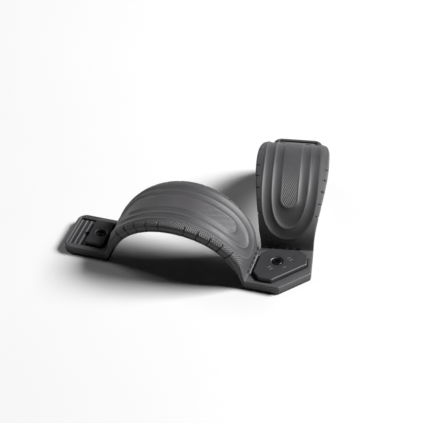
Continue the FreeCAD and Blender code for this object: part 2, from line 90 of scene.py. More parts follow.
NOTCH_LENGTH = 3.8      # from the edge into the top
UV_UNIT = 100.0         # millimetres in one unit of the texture coordinates


# ---------------------------------------------------------------- the two arms

class Arm:
    """One strap's own frame: u along it from the centre screw, w across it from its centreline, outwards."""

    def __init__(self, name, side):
        self.name = name
        self.along = np.array(joints[f"{name}_plate_slide"]["axis"], float)
        self.across = side * np.cross(self.along, (0, 0, 1))
        inner = np.array(joints[f"{name}_strap_fold"]["pos_m"]) / MM
        outer = np.array(joints[f"{name}_end_fold"]["pos_m"]) / MM
        self.fold_in = inner @ self.along
        self.fold_out = outer @ self.along
        self.offset = inner @ self.across
        self.top = inner[2]
        self.crown = (self.fold_in + self.fold_out) / 2 + 0.1

    def row(self, u, w, z):
        """Points in the part's frame, in metres, from arm coordinates in millimetres."""
        u, w, z = np.broadcast_arrays(np.asarray(u, float), w, z)
        up = np.array((0, 0, 1.0))
        flat = u[..., None] * self.along + (w + self.offset)[..., None] * self.across
        return MM * (flat + z[..., None] * up)

    def half_plus(self, u):
        """Half width of the outward edge at u."""
        run = (self.fold_out - self.fold_in) / 2
        bow = CROWN_HALF - FOOT_HALF
        radius = (run ** 2 + bow ** 2) / (2 * bow)
        reach = np.clip(np.abs(u - (self.fold_in + self.fold_out) / 2), 0, run)
        half = CROWN_HALF - radius + np.sqrt(radius ** 2 - reach ** 2)
        ending = smooth(u, self.fold_out - FILLET, self.fold_out + FILLET)
        return half - (FOOT_HALF - END_HALF) * ending

    def half_minus(self, u, z):
        """Half width of the inward edge at u and height z, which is cut back in the notch of the V."""
        half = self.half_plus(u) - NOTCH_CLEAR * (1 - smooth(u, *NOTCH_REACH))
        if u > self.crown:
            return half
        return NOTCH_FOOT + (half - NOTCH_FOOT) * smooth(z, self.top + 0.5, self.top + NOTCH_TOP)


def smooth(x, low, high):
    t = np.clip((np.asarray(x, float) - low) / (high - low), 0, 1)
    return t * t * (3 - 2 * t)


def bump(x, middle, width):
    return np.exp(-(((x - middle) / width) ** 2))


ARMS = [Arm("right", 1), Arm("left", -1)]
PAD_TOP = ARMS[0].top

# ---------------------------------------------------------------- mesh helpers


def make_piece(name, points, faces, materials, face_material=None, uv=None, marks=None, sharp=None):
    """A smooth-shaded mesh with outward normals. marks are named values at its points."""
    mesh = bpy.data.meshes.new(name)
    mesh.from_pydata(np.asarray(points).reshape(-1, 3).tolist(), [], faces)
    for material in materials:
        mesh.materials.append(material)
    if face_material is not None:
        mesh.polygons.foreach_set("material_index", np.asarray(face_material, np.int32))
    work = bmesh.new()
    work.from_mesh(mesh)
    bmesh.ops.recalc_face_normals(work, faces=work.faces)
    work.to_mesh(mesh)
    work.free()
    mesh.polygons.foreach_set("use_smooth", np.ones(len(mesh.polygons), bool))
    if uv is not None:
        corner = np.zeros(len(mesh.loops), np.int32)
        mesh.loops.foreach_get("vertex_index", corner)
        layer = mesh.uv_layers.new(name="Surface")
        layer.data.foreach_set("uv", np.asarray(uv, np.float32)[corner].ravel())
    for mark, values in (marks or {}).items():
        layer = mesh.attributes.new(mark, "FLOAT", "POINT")
        layer.data.foreach_set("value", np.asarray(values, np.float32).ravel())
    if sharp is not None:
        ends = np.zeros(len(mesh.edges) * 2, np.int32)
        mesh.edges.foreach_get("vertices", ends)
        ends = ends.reshape(-1, 2)
        flags = sharp[ends[:, 0]] & sharp[ends[:, 1]]
        mesh.edges.foreach_set("use_edge_sharp", flags)
    piece = bpy.data.objects.new(name, mesh)
    bpy.context.scene.collection.objects.link(piece)
    return piece


def ring_faces(count, size, closed=False):
    """Quads between neighbouring rings, with a cap at each end unless the row of rings closes on itself."""
    faces = []
    for i in range(count if closed else count - 1):
        a, b = i * size, (i + 1) % count * size
        for k in range(size):
            n = (k + 1) % size
            faces.append((a + k, a + n, b + n, b + k))
    if not closed:
        faces.append(tuple(range(size)))
        faces.append(tuple(reversed(range((count - 1) * size, count * size))))
    return faces


# ---------------------------------------------------------------- relief of a strap

PANEL_END, PANEL_HALF = 61.5, 9.0       # crest round the flat middle panel
INNER_END, INNER_HALF = 82.5, 19.2      # crest round that, with a flute between them
RIDGE_END, RIDGE_HALF = 93.5, 29.3      # outer crest, with a second flute inside it
OUTLINE_POWER = 5.0
CREST_RISE = 2.5        # of the crests and the panel, above the rim of the band
BAND_FALL = 9.5         # distance in which the band falls from the outer crest
FLUTE_DEPTH, FLUTE_EASE = 1.8, 3.2
HATCH_START, HATCH_FULL = 14.0, 40.0    # the panel's hatch fades in towards the centre pad
HATCH_SINK = 0.25


def depth_inside(s, w, end, half):
    """Distance inside a long rounded outline, about right near its edge."""
    a, b = np.abs(s) / end, np.abs(w) / half
    level = 1 - a ** OUTLINE_POWER - b ** 2
    slope = np.hypot(OUTLINE_POWER * a ** (OUTLINE_POWER - 1) / end, 2 * b / half)
    return level / np.maximum(slope, 1 / half)


def flute(from_outer, from_inner):
    """Depth of a concave channel between two crests."""
    a, b = np.clip(from_outer, 0, None), np.clip(from_inner, 0, None)
    return FLUTE_DEPTH * (1 - np.exp(-a / FLUTE_EASE)) * (1 - np.exp(-b / FLUTE_EASE))


def relief(s, w):
    """Height above the band, and the marks that the foam's material reads."""
    ridge = depth_inside(s, w, RIDGE_END, RIDGE_HALF)
    inner = depth_inside(s, w, INNER_END, INNER_HALF)
    straight = PANEL_END - PANEL_HALF
    panel = PANEL_HALF - np.hypot(np.maximum(np.abs(s) - straight, 0), w)
    height = CREST_RISE * np.clip(1 + ridge / BAND_FALL, 0, 1) ** 1.3
    fluted = flute(ridge, -inner) + flute(inner, -panel)
    height = height - fluted
    hatch = smooth(panel, 0.6, 1.6) * smooth(-s, HATCH_START, HATCH_FULL)
    marks = {
        "twill": 1 - 0.75 * smooth(ridge, -1.5, 0.2),
        "hatch": hatch,
        # painted highlight along the crests and round the panel
        "rim": bump(ridge, 0.2, 0.7) + bump(inner, 0.2, 0.7) + 0.5 * bump(panel, -0.2, 0.6),
        # painted shade in the flutes, just inside each crest
        "crease_shade": bump(ridge, -1.0, 0.7) + bump(inner, -1.2, 0.8) + 0.6 * bump(panel, -1.6, 0.8)
        + 0.6 * fluted / FLUTE_DEPTH,
    }
    return height - HATCH_SINK * hatch, marks


def notch_gate(s):
    """1 in the middle of an edge cut, 0 away from it."""
    gap = np.min(np.abs(np.abs(s) - np.array(NOTCHES)))
    return float(1 - smooth(gap, 0.35, 0.65))


# ---------------------------------------------------------------- rings round a strap

TOP_STEPS = 132
EDGE = [(1.3, 0.0), (0.8, 0.08), (0.4, 0.3), (0.12, 0.7), (0.0, 1.2)]      # (inset, depth) of the rim


def side_profile(parting, thick):
    """Side of the foam from its rim down: a rounded rim, the parting line, and the lower layer."""
    scale = min(1.0, thick / 4)
    line = [(0.0, parting - 0.3), (0.45, parting - 0.1), (0.45, parting + 0.1), (0.1, parting + 0.3)]
    return [(i * scale, d * scale) for i, d in EDGE + line] + [(0.1, thick - 0.3), (0.35, thick)]


def cover_ring(arm, outer, normal, inner, s, parting, core):
    """One section of a strap's cover, at arc length s, as points, texture coordinates and marks."""
    (pu, pz), (nu, nz), (qu, qz) = outer, normal, inner
    thick = math.hypot(qu - pu, qz - pz)
    du, dz = (qu - pu) / thick, (qz - pz) / thick
    profile = side_profile(parting, thick)
    gate = notch_gate(s)
    wide_in, wide_out = arm.half_minus(pu, pz), arm.half_plus(pu)
    low, high = -wide_in + ROUND, wide_out - ROUND
    w = np.linspace(low, high, TOP_STEPS)
    height, marks = relief(s, w)
    from_edge = np.minimum(w - low, high - w) + ROUND
    cut = gate * NOTCH_DEPTH * (1 - smooth(from_edge, NOTCH_LENGTH - 0.6, NOTCH_LENGTH))
    height = height - cut
    # painted shade in the edge cuts
    marks["crease_shade"] = marks["crease_shade"] + 2.5 * cut
    rows = [(pu + nu * height, w, pz + nz * height)]
    uvs = [(np.full(TOP_STEPS, s), w)]
    tags = [marks]
    for sign, half in ((1, wide_out), (-1, wide_in)):
        ends = profile[1:] if sign > 0 else profile[:0:-1]
        depth = np.array([d for _, d in ends])
        inset = np.array([i for i, _ in ends]) + gate * NOTCH_DEPTH
        u, z = pu + du * depth, pz + dz * depth
        edge = sign * (half - inset)
        fell = gate * NOTCH_DEPTH * (1 - smooth(depth, 0.6, 1.4))
        side = (u - nu * fell, edge, z - nz * fell)
        blank = np.zeros(len(ends))
        # painted highlight just below the rounded rim, and painted shade on the sides of the edge cuts
        tag = {"twill": blank + 1, "hatch": blank, "rim": bump(depth, 0.3, 0.4),
               "crease_shade": blank + 3 * gate}
        if sign > 0:
            rows.append(side)
            uvs.append((blank + s, edge + depth))
            tags.append(tag)
            raised = CORE_THICK if core else 0.0
            hollow = np.array([0, raised, raised, 0])
            bottom = np.array([CORE_HALF, CORE_HALF - 0.1, -CORE_HALF + 0.1, -CORE_HALF])
            if not core:
                bottom = np.array([15.0, 5.0, -5.0, -15.0])
            rows.append((qu - du * hollow, bottom, qz - dz * hollow))
            uvs.append((np.full(4, s), bottom))
            tags.append({key: np.zeros(4) for key in tag})
        else:
            rows.append(side)
            uvs.append((blank + s, edge - depth))
            tags.append(tag)
    points = np.concatenate([arm.row(*r) for r in rows])
    uv = np.concatenate([np.stack(pair, axis=1) for pair in uvs]) / UV_UNIT
    marks = {key: np.concatenate([tag[key] for tag in tags]) for key in tags[0]}
    return points, uv, marks


def ring_materials():
    """Material of each strip round a cover ring: 0 the top skin, 1 the side and underside."""
    side = len(side_profile(BAND_PARTING, 7.0)) - 1
    skin = len(EDGE) + 1
    kinds = [0] * (TOP_STEPS - 1) + [0] * skin + [1] * (side - skin) + [1] * 4
    return kinds + [1] * (side - skin + 1) + [0] * skin


def shell_from(name, rings, materials, kinds):
    """Closed piece from rings made by cover_ring or lining_ring."""
    size = len(rings[0][0])
    faces = ring_faces(len(rings), size)
    face_material = (kinds + [0] * size)[:size] * (len(rings) - 1) + [1, 1]
    points = np.concatenate([ring[0] for ring in rings])
    uv = np.concatenate([ring[1] for ring in rings])
    marks = {key: np.concatenate([ring[2][key] for ring in rings]) for key in rings[0][2]}
    index = np.arange(len(points))
    capped = (index < size) | (index >= len(points) - size)
    return make_piece(name, points, faces, materials, face_material, uv, marks, capped)


def arch_stations():
    """Arc lengths of the rigid part's sections, closer together at the edge cuts."""
    end = BAND_R * math.radians(SEAM_ANGLE)
    near = (-0.75, -0.5, -0.3, 0, 0.3, 0.5, 0.75)
    cuts = [side * (n + d) for side in (1, -1) for n in NOTCHES for d in near]
    even = [s for s in np.linspace(-end, end, 164) if min(abs(abs(s) - n) for n in NOTCHES) > 1.0]
    return sorted(even + cuts)


def on_arch(arm, radius, angle):
    """(u, z) on the arch at radius, angle from the crown towards the end pad."""
    return arm.crown + radius * math.sin(angle), radius * math.cos(angle) - ARCH_DROP


def foot_stations(arm, toward):
    """Sections of a folding foot, from the rigid arch to the pad: outer point, normal, inner point, arc
    length and the share of the foot so far. toward is -1 at the centre pad and 1 at the end pad."""
    wall = arm.fold_in if toward < 0 else arm.fold_out
    pad = wall + toward * FILLET
    seam = math.radians(SEAM_ANGLE)
    start = np.array(on_arch(arm, BAND_R, toward * seam))
    leave = start + LEAVE_PULL * np.array((toward * math.cos(seam), -math.sin(seam)))
    arrive = np.array((wall + toward * WALL_GAP, PAD_TOP))
    finish = np.array((pad, PAD_TOP))
    turn = math.acos((ARCH_DROP + TURN_UP) / COVER_R)
    free = np.array(on_arch(arm, COVER_R, toward * turn))
    corner = free + TURN_PULL * np.array((toward * math.cos(turn), -math.sin(turn)))
    under = np.array((pad, SOLE_TOP))
    rows = []
    length = BAND_R * seam
    before = start
    for t in np.linspace(0, 1, FOOT_STEPS):
        weights = ((1 - t) ** 3, 3 * t * (1 - t) ** 2, 3 * t * t * (1 - t), t ** 3)
        point = sum(k * p for k, p in zip(weights, (start, leave, arrive, finish)))
        slope = ((1 - t) ** 2 * (leave - start) + 2 * t * (1 - t) * (arrive - leave)
                 + t * t * (finish - arrive))
        slope = slope / np.linalg.norm(slope)
        normal = (-slope[1] * toward, slope[0] * toward)
        if t < FOOT_SHARE:
            inner = on_arch(arm, COVER_R, toward * (seam + (turn - seam) * t / FOOT_SHARE))
        else:
            k = (t - FOOT_SHARE) / (1 - FOOT_SHARE)
            inner = tuple((1 - k) ** 2 * free + 2 * k * (1 - k) * corner + k * k * under)
        length += np.linalg.norm(point - before)
        before = point
        rows.append((tuple(point), normal, inner, toward * length, t))
    return rows


def strap_pieces(arm, foam, side_foam):
    """The arched cover, rigid between its folds, and a foot at each end of it."""
    materials = [foam, side_foam]
    kinds = ring_materials()
    rings = []
    for s in arch_stations():
        angle = s / BAND_R
        normal = (math.sin(angle), math.cos(angle))
        outer, inner = on_arch(arm, BAND_R, angle), on_arch(arm, COVER_R, angle)
        rings.append(cover_ring(arm, outer, normal, inner, s, BAND_PARTING, True))
    arch = shell_from(f"{arm.name}_strap_foam", rings, materials, kinds)
    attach(arch, f"{arm.name}_strap")
    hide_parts(f"{arm.name}_strap_cover")
    for place, toward in (("inner", -1), ("outer", 1)):
        rings = []
        for outer, normal, inner, s, stage in foot_stations(arm, toward):
            parting = BAND_PARTING + (PAD_PARTING - BAND_PARTING) * smooth(stage, 0.0, 1.0)
            core = stage < 0.25
            rings.append(cover_ring(arm, outer, normal, inner, s, float(parting), core))
        foot = shell_from(f"{arm.name}_{place}_foot_foam", rings, materials, kinds)
        cross_fold(foot, arm, toward)
        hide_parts(f"{arm.name}_strap_cover")


def cross_fold(piece, arm, toward):
    """Bakes a foot piece's placement into its mesh; the points at the pad and on the strap are worked out but
    not used.
    """
    wall = arm.fold_in if toward < 0 else arm.fold_out
    at_pad = arm.row(wall + toward * FILLET, 0, PAD_TOP)
    at_strap = arm.row(wall - toward * BEND_IN, 0, PAD_TOP + BEND_UP)
    if toward < 0:
        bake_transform(piece)
    else:
        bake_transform(piece)


# ---------------------------------------------------------------- lining

LINING_STEPS = 56
LINING_EDGE = [(1.0, 0.0), (0.5, 0.12), (0.15, 0.45), (0.0, 1.0), (0.0, 2.4), (0.15, 2.97)]
SEWN_IN = 4.0           # sewn line, from the lining's edge


def lining_ring(arm, inner, normal, outer, s):
    """One section of the lining: its soft inner face, rounded edges and the face glued to the cover."""
    (pu, pz), (nu, nz), (qu, qz) = inner, normal, outer
    thick = math.hypot(qu - pu, qz - pz)
    du, dz = (qu - pu) / thick, (qz - pz) / thick
    scale = thick / LINING_EDGE[-1][1]
    gate = notch_gate(s * BAND_R / LINING_R)
    pressed = min(scale, 1.0)
    cover_u, cover_z = on_arch(arm, BAND_R, s / LINING_R)
    wide_in, wide_out = arm.half_minus(cover_u, cover_z), arm.half_plus(cover_u)
    low, high = -wide_in + 1.0, wide_out - 1.0
    w = np.linspace(low, high, LINING_STEPS)
    from_edge = np.minimum(w - low, high - w) + 1.0
    sewn = bump(from_edge, SEWN_IN, 0.6)
    height = pressed * (0.25 * smooth(from_edge, SEWN_IN, SEWN_IN + 3) - 0.6 * sewn)
    rows = [(pu + nu * height, w, pz + nz * height)]
    # painted shade along the sewn line; the edge rows carry painted shade in the edge cuts
    tags = [{"crease_shade": sewn}]
    for sign, half in ((1, wide_out), (-1, wide_in)):
        ends = LINING_EDGE[1:] if sign > 0 else LINING_EDGE[:0:-1]
        depth = np.array([d * scale for _, d in ends])
        inset = np.array([i for i, _ in ends]) + gate * NOTCH_DEPTH
        u, z = pu + du * depth, pz + dz * depth
        rows.append((u, sign * (half - inset), z))
        tags.append({"crease_shade": np.full(len(ends), gate)})
    points = np.concatenate([arm.row(*r) for r in rows])
    across = np.concatenate([r[1] for r in rows])
    uv = np.stack([np.full(len(across), s), across], axis=1) / UV_UNIT
    return points, uv, {"crease_shade": np.concatenate([tag["crease_shade"] for tag in tags])}


def lining_pieces(arm, cloth):
    """The lining under the arch, and its two ends."""
    seam = math.radians(SEAM_ANGLE)
    bottom = ARCH_DROP + TURN_UP
    inner_end, outer_end = math.acos(bottom / LINING_R), math.acos(bottom / COVER_R)
    gap = 0.03

    def section(angle, outer_angle, thinned=0.0):
        normal = (-math.sin(angle), -math.cos(angle))
        radius = LINING_R + thinned * (COVER_R - LINING_R - 0.5)
        inner, outer = on_arch(arm, radius, angle), on_arch(arm, COVER_R - gap, outer_angle)
        return lining_ring(arm, inner, normal, outer, angle * LINING_R)

    spans = [("lining", [section(s / BAND_R, s / BAND_R) for s in arch_stations()])]
    for place, toward in (("inner", -1), ("outer", 1)):
        steps = np.linspace(0, 1, 12)
        spans.append((place, [
            section(toward * (seam + (inner_end - seam) * t), toward * (seam + (outer_end - seam) * t),
                    float(smooth(t, 0.1, 1.0)))
            for t in steps
        ]))
    for place, rings in spans:
        label = "strap" if place == "lining" else f"{place}_foot"
        piece = shell_from(f"{arm.name}_{label}_lining_cloth", rings, [cloth, cloth], [0])
        if place == "lining":
            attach(piece, f"{arm.name}_strap")
        else:
            cross_fold(piece, arm, -1 if place == "inner" else 1)
        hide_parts(f"{arm.name}_strap_lining")


# ---------------------------------------------------------------- pads

def unit(angle):
    return np.array((math.cos(math.radians(angle)), math.sin(math.radians(angle))))


def reach(node, angle):
    """How far a CAD node reaches in a direction of the deck, in millimetres."""
    direction = unit(angle)
    return max(v.co.x * direction[0] + v.co.y * direction[1] for v in frame["nodes"][node].data.vertices) / MM


def outline(lines, radii, steps=7):
    """Closed convex outline: lines are (direction, distance), anticlockwise, and each radius rounds the
    corner after its line."""
    points = []
    for i, (a, p) in enumerate(lines):
        b, q = lines[(i + 1) % len(lines)]
        r = radii[i]
        turn = (b - a) % 360
        middle = np.linalg.solve(np.array((unit(a), unit(b))), np.array((p - r, q - r)))
        if r <= 0:
            points.append(middle)
        else:
            points += [middle + r * unit(a + turn * k / steps) for k in range(steps + 1)]
    return np.array(points)


def polar(points, centre):
    rel = points - centre
    return np.degrees(np.arctan2(rel[:, 1], rel[:, 0])) % 360


def shared_angles(outlines, centre, widest=4.0):
    """Directions from centre to every corner of the outlines, with more where they lie far apart."""
    found = np.sort(np.concatenate([polar(points, centre) for points in outlines]))
    found = found[np.append(True, np.diff(found) > 1e-4)]
    extra = []
    for a, b in zip(found, np.append(found[1:], found[0] + 360)):
        count = int((b - a) // widest)
        extra += [(a + (b - a) * (k + 1) / (count + 1)) % 360 for k in range(count)]
    return np.sort(np.append(found, extra))


def ring_maker(base, angles, centre):
    """Gives a function that puts one point per shared direction on any outline drawn like base."""
    phi = polar(base, centre)
    first = int(np.argmin(phi))
    order = (np.arange(len(base)) + first) % len(base)
    phi = phi[order]
    k = np.searchsorted(phi, angles + 1e-6, side="right") - 1
    a, b = base[order][k % len(base)] - centre, base[order][(k + 1) % len(base)] - centre
    ray = np.stack([np.cos(np.radians(angles)), np.sin(np.radians(angles))], axis=1)
    step = b - a
    share = -(ray[:, 0] * a[:, 1] - ray[:, 1] * a[:, 0]) / (ray[:, 0] * step[:, 1] - ray[:, 1] * step[:, 0])
    share = np.clip(share, 0, 1)[:, None]

    def ring(points):
        turned = points[order]
        return turned[k % len(base)] * (1 - share) + turned[(k + 1) % len(base)] * share

    return ring


def pad_piece(name, levels, place, materials, kinds):
    """Closed pad from a row of flat rings (points, height) that closes on itself."""
    size = len(levels[0][0])
    points = np.concatenate([place(ring, z) for ring, z, _ in levels])
    uv = np.concatenate([ring for ring, _, _ in levels]) / UV_UNIT
    twill = np.concatenate([np.full(size, mark) for _, _, mark in levels])
    faces = ring_faces(len(levels), size, closed=True)
    face_material = np.repeat(kinds, size)
    zero = np.zeros(len(twill))
    marks = {"twill": 0.5 * twill, "hatch": zero, "rim": zero, "crease_shade": zero}
    piece = make_piece(name, points, faces, materials, face_material, uv, marks)
    mark_sharp_by_angle(piece.data, 50)
    return piece


def mark_sharp_by_angle(mesh, limit):
    work = bmesh.new()
    work.from_mesh(mesh)
    for edge in work.edges:
        edge.smooth = len(edge.link_faces) != 2 or edge.calc_face_angle(0) < math.radians(limit)
    work.to_mesh(mesh)
    work.free()


PLATE_LINES = (-90, -40, 5, 50, 90, 130, 175, 220)      # directions of the centre plate's sides
PLATE_GAP = 0.9
PLATE_CORNER = 3.9
NOSE_CORNER = 4.0
SCREW_HOLE = 3.3
BED_LEDGE, BED_FLOOR = 9.03, 6.45       # the foam's lip over the rubber bed, and the floor under the bed


def centre_pad(foam, side_foam):
    """Foam cover of the centre pad: rim, parting line, and a lip over the rubber bed round the plate."""
    arm = ARMS[0]
    fold = arm.fold_in - FILLET
    nose, flank = reach("centre_cover", -90), reach("centre_cover", -40)
    notch = float(arm.row(fold, -NOTCH_FOOT, 0)[1]) / MM
    centre = np.zeros(2)

    def outer(inset):
        lines = [(-90, nose - inset), (-40, flank - inset), (50, fold), (90, notch - inset),
                 (130, fold), (220, flank - inset)]
        r = max(NOSE_CORNER - inset, 0.5)
        return outline(lines, [r, 0, 0, 0, 0, r])

    def plate(grow, corner):
        lines = [(a, reach("centre_plate", a) + grow) for a in PLATE_LINES]
        return outline(lines, [corner] * len(lines))

    bed_lines = [(a, reach("centre_bed", a) + 0.02) for a in PLATE_LINES]
    bed = outline(bed_lines, [0.3] * len(bed_lines))
    lip = plate(PLATE_GAP, PLATE_CORNER)
    angles = shared_angles([outer(0), lip, bed], centre)
    on_outer, on_lip = ring_maker(outer(0), angles, centre), ring_maker(lip, angles, centre)
    on_bed = ring_maker(bed, angles, centre)
    hole = SCREW_HOLE * np.stack([np.cos(np.radians(angles)), np.sin(np.radians(angles))], axis=1)
    profile = side_profile(PAD_PARTING, PAD_TOP - SOLE_TOP)
    levels = [(on_outer(outer(i)), PAD_TOP - d, float(d < 0.2)) for i, d in reversed(profile)]
    kinds = [1] * (len(profile) - len(EDGE) - 1) + [0] * (len(EDGE) + 1)
    levels += [
        (on_lip(plate(PLATE_GAP + 0.35, PLATE_CORNER)), PAD_TOP, 1),
        (on_lip(plate(PLATE_GAP + 0.1, PLATE_CORNER)), PAD_TOP - 0.1, 1),
        (on_lip(plate(PLATE_GAP, PLATE_CORNER)), PAD_TOP - 0.3, 0),
        (on_lip(plate(PLATE_GAP, PLATE_CORNER)), BED_LEDGE, 0),
        (on_bed(bed), BED_LEDGE, 0),
        (on_bed(bed), BED_FLOOR, 0),
        (hole, BED_FLOOR, 0),
        (hole, SOLE_TOP, 0),
    ]
    kinds += [0, 0, 0, 0, 1, 1, 1, 1]

    def place(ring, z):
        return MM * np.column_stack([ring, np.full(len(ring), z)])

    pad = pad_piece("centre_pad_foam", levels, place, [foam, side_foam], kinds)
    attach(pad, "centre")
    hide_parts("centre_cover")


RACK_START, RACK_END, RACK_HALF = 180.4, 220.6, 21.4
END_TIP, END_CORNER = 224.4, 10.0
RACK_FLOOR = 5.75
SLOT_IN, SLOT_OUT, SLOT_HALF = 190.2, 205.7, 3.3


def end_pad(arm, foam, side_foam):
    """Foam cover of an end pad: rounded outer corners, and a recess for the ribbed rack with a slot in it."""
    start = arm.fold_out + FILLET
    centre = np.array(((SLOT_IN + SLOT_OUT) / 2, 0))

    def outer(inset):
        lines = [(-90, END_HALF - inset), (0, END_TIP - inset), (90, END_HALF - inset), (180, -start)]
        r = END_CORNER - inset
        return outline(lines, [r, r, 0, 0])

    def recess(grow):
        lines = [(-90, RACK_HALF + grow), (0, RACK_END + grow), (90, RACK_HALF + grow),
                 (180, -RACK_START + min(grow, 0.15))]
        return outline(lines, [1.0] * 4)

    def slot():
        ends = [(x, a) for x, a in ((SLOT_OUT, -90), (SLOT_IN, 90))]
        return np.array([(x, 0) + SLOT_HALF * unit(a + 180 * k / 14) for x, a in ends for k in range(15)])

    angles = shared_angles([outer(0), recess(0), slot()], centre)
    on_outer, on_recess = ring_maker(outer(0), angles, centre), ring_maker(recess(0), angles, centre)
    on_slot = ring_maker(slot(), angles, centre)
    profile = side_profile(PAD_PARTING, PAD_TOP - SOLE_TOP)
    levels = [(on_outer(outer(i)), PAD_TOP - d, float(d < 0.2)) for i, d in reversed(profile)]
    kinds = [1] * (len(profile) - len(EDGE) - 1) + [0] * (len(EDGE) + 1)
    levels += [
        (on_recess(recess(0.9)), PAD_TOP, 1),
        (on_recess(recess(0.3)), PAD_TOP - 0.25, 0),
        (on_recess(recess(0.05)), PAD_TOP - 0.9, 0),
        (on_recess(recess(0.05)), RACK_FLOOR, 0),
        (on_slot(slot()), RACK_FLOOR, 0),
        (on_slot(slot()), SOLE_TOP, 0),
    ]
    kinds += [0, 0, 0, 1, 1, 1]

    def place(ring, z):
        return arm.row(ring[:, 0], ring[:, 1], z)

    pad = pad_piece(f"{arm.name}_end_pad_foam", levels, place, [foam, side_foam], kinds)
    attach(pad, f"{arm.name}_end")
    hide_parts(f"{arm.name}_end_cover")


# ---------------------------------------------------------------- small bars: stitches, ribs with a painted highlight, ticks of painted shade and plain marks

STITCH_RISE = 1.6       # of the fold's stitches, above the pad
STITCH_SPAN, STITCHES = (-16.4, 20.6), 6        # across the arm, from the centre screw
STITCH_SIZE = (5.0, 2.4, 1.2)
STITCH_OUT = 0.15       # their middle, outside the foam's face
RIB_START, RIB_PITCH, RIB_COUNT = 21.5, 1.6, 2
RIB_MIDDLE = 7.5        # across the arm, from the centre screw
RIB_SIZE = (31.0, 0.8, 0.9)
TICK_ROWS = ((204.5, -23.4), (202.5, -25.7))    # where each row starts: along the arm, across it
TICK_PITCH, TICKS = 4.3, 4
TICK_SIZE = (2.9, 1.3, 0.4)
MARK_PLACES = ((-12.5, -3.0), (-12.5, -6.6), (12.5, -3.0), (12.5, -6.6), (0, -12.0))
MARK_SIZE = (4.2, 0.7, 0.3)


def bars(name, places, size, material, body, rounding):
    """Rounded bars in one piece. places are (middle, long direction, up direction), and size is (long,
    wide, high) in millimetres."""
    work = bmesh.new()
    for middle, long, up in places:
        long, up = Vector(long).normalized(), Vector(up).normalized()
        wide = up.cross(long).normalized()
        turn = Matrix((long, wide, up)).transposed().to_4x4()
        made = bmesh.ops.create_cube(work, size=1.0)
        shape = Matrix.Diagonal((*[x * MM for x in size], 1))
        bmesh.ops.transform(work, matrix=Matrix.Translation(middle) @ turn @ shape, verts=made["verts"])
    bmesh.ops.bevel(work, geom=work.edges[:], offset=rounding * MM, segments=3, profile=0.5, affect="EDGES")
    mesh = bpy.data.meshes.new(name)
    work.to_mesh(mesh)
    work.free()
    mesh.materials.append(material)
    mesh.polygons.foreach_set("use_smooth", np.ones(len(mesh.polygons), bool))
    piece = bpy.data.objects.new(name, mesh)
    bpy.context.scene.collection.objects.link(piece)
    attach(piece, body)
    return piece


def fold_stitches(arm, thread):
    """Row of bold stitches low on the strap, where it rises from the centre pad."""
    rows = foot_stations(arm, -1)
    (u, z), (nu, nz), _, _, _ = min(rows, key=lambda row: abs(row[0][1] - PAD_TOP - STITCH_RISE))
    normal = nu * arm.along + nz * np.array((0, 0, 1))
    places = []
    for v in np.linspace(*STITCH_SPAN, STITCHES):
        places.append((arm.row(u, v - arm.offset, z) + STITCH_OUT * MM * normal, arm.across, normal))
    bars(f"{arm.name}_fold_stitches", places, STITCH_SIZE, thread, "centre", 0.4)


def bed_ribs(arm, foam):
    """Two fine ribs between the plate and the fold, in a pale foam that paints a highlight along them."""
    places = []
    for count in range(RIB_COUNT):
        u = RIB_START + RIB_PITCH * count
        places.append((arm.row(u, RIB_MIDDLE - arm.offset, PAD_TOP + 0.15), arm.across, (0, 0, 1)))
    bars(f"{arm.name}_pad_ribs", places, RIB_SIZE, foam, "centre", 0.24)


def end_shade_ticks(arm, thread):
    """Two rows of short dark ticks beside the rack: black bars that paint the shade by the recess wall."""
    places = []
    for start, w in TICK_ROWS:
        for u in start + TICK_PITCH * np.arange(TICKS):
            places.append((arm.row(u, w, PAD_TOP), arm.along, (0, 0, 1)))
    bars(f"{arm.name}_end_ticks", places, TICK_SIZE, thread, f"{arm.name}_end", 0.12)


def plate_marks(plastic):
    """Plain raised ticks on the centre plate, beside and before its screw."""
    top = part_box("centre_plate")[1].z
    places = []
    for x, y in MARK_PLACES:
        places.append((Vector((x * MM, y * MM, top)), (1, 0, 0), (0, 0, 1)))
    bars("centre_plate_marks", places, MARK_SIZE, plastic, "centre", 0.12)


# ---------------------------------------------------------------- materials

